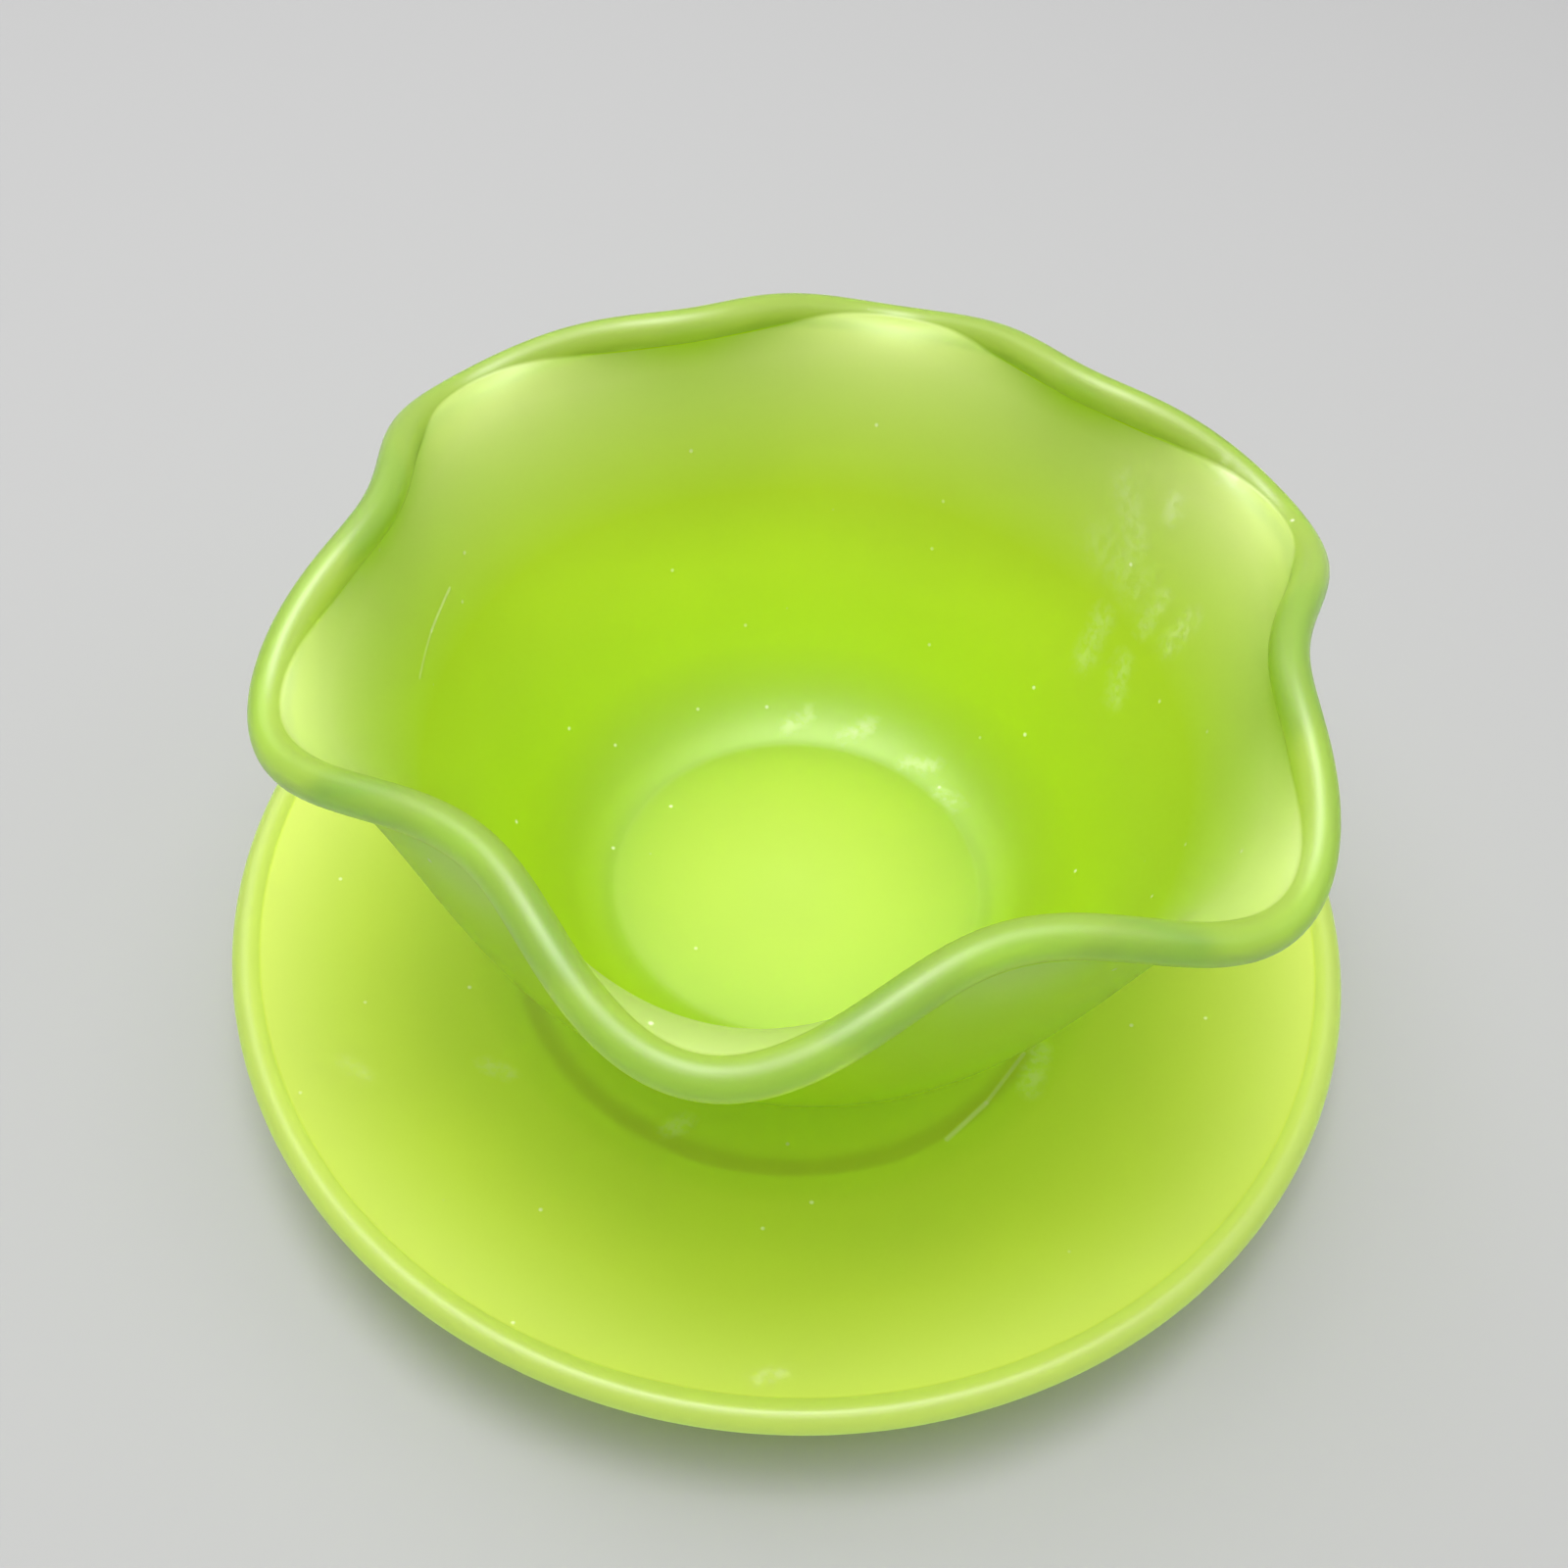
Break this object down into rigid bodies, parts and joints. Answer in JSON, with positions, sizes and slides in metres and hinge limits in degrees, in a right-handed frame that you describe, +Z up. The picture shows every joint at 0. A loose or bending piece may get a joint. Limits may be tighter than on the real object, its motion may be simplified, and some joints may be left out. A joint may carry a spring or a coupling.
{
  "type": "ruffled glass bowl on underplate",
  "caption": "Deep satin-glass bowl with a ruffled, beaded rim, standing loose on a round beaded underplate.",
  "frame": {"origin": "on the table, under the centre of the plate's base ring", "axes": "+Z up through the middle of the plate; -Y towards the middle of the bowl's front lobe; +X to the right of it, the way the bowl stands slightly off centre"},
  "size_m": [0.1708, 0.1708, 0.0814],
  "materials": {
    "bowl_glass": "satin",
    "plate_glass": "satin"
  },
  "bodies": {
    "plate": {"underplate": "plate_glass"},
    "bowl": {"ruffled_bowl": "bowl_glass"}
  },
  "joints": [
    {"name": "bowl_lift", "type": "slide", "parent": "plate", "child": "bowl", "axis": [0, 0, 1], "range_m": [0, 0.12]}
  ]
}
